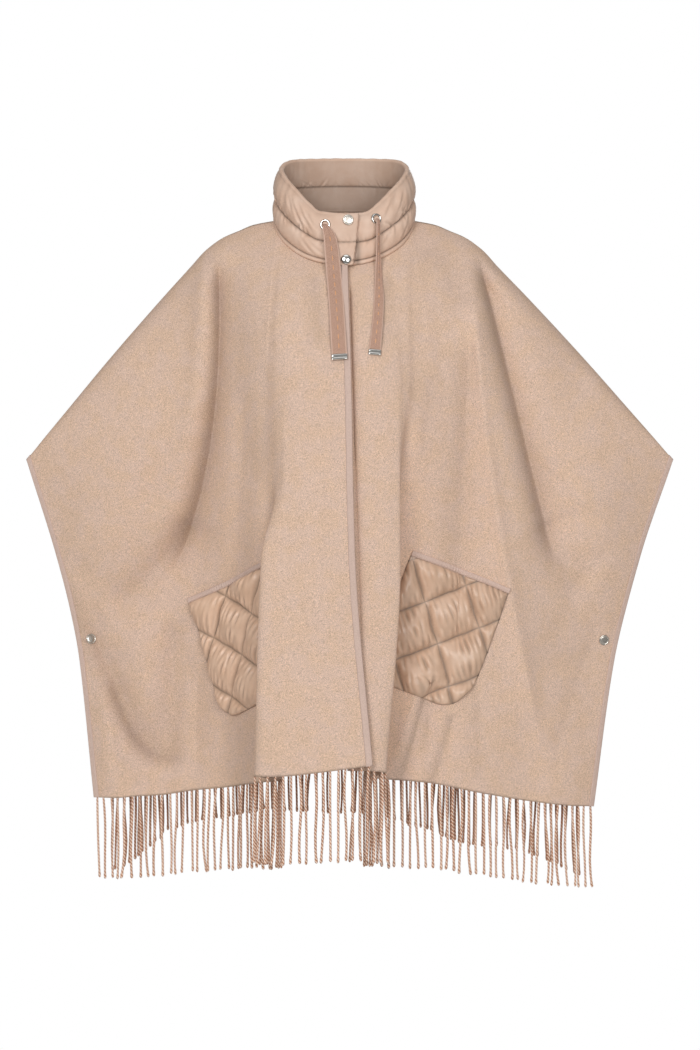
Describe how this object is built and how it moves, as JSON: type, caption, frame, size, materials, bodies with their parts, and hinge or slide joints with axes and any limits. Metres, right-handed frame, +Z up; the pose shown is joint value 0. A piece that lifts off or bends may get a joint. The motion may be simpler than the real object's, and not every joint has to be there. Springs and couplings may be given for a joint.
{
  "type": "wool cape",
  "caption": "Hip-length wool cape, open in front, with a quilted stand-up collar, quilted patch pockets, taped edges and a fringed hem, filled out as worn",
  "frame": {"origin": "the middle of the neck's base, level with the shoulders, where a wearer's shoulders carry the cape", "axes": "+X to the wearer's left, -Y to the front and +Z up"},
  "size_m": [0.9395, 0.3503, 1.0682],
  "materials": {
    "wool": "beige heathered wool cloth, matt and softly napped",
    "nylon": "beige quilted nylon with a satin sheen",
    "tape": "ribbed binding tape in a muted pinkish beige",
    "cord": "flat twill drawcord tape in a darker tan, with a plain running stitch",
    "fringe": "twisted wool yarn in a pinkish tan",
    "steel": "polished silver-coloured metal"
  },
  "bodies": {
    "root": {"front_right": "wool", "front_left": "wool", "back": "wool", "collar": "nylon", "pocket_right": "nylon", "pocket_left": "nylon", "pocket_binding_right": "tape", "pocket_binding_left": "tape", "front_binding_right": "tape", "front_binding_left": "tape", "side_binding_front_right": "tape", "side_binding_front_left": "tape", "side_binding_back_right": "tape", "side_binding_back_left": "tape", "fringe_front_right": "fringe", "fringe_front_left": "fringe", "fringe_back": "fringe", "drawcord_right": "cord", "drawcord_left": "cord", "cord_tip_right": "steel", "cord_tip_left": "steel", "eyelet_right": "steel", "eyelet_left": "steel", "snap_collar_top": "steel", "snap_collar_base": "steel", "snap_side_right": "steel", "snap_side_left": "steel"}
  },
  "joints": []
}
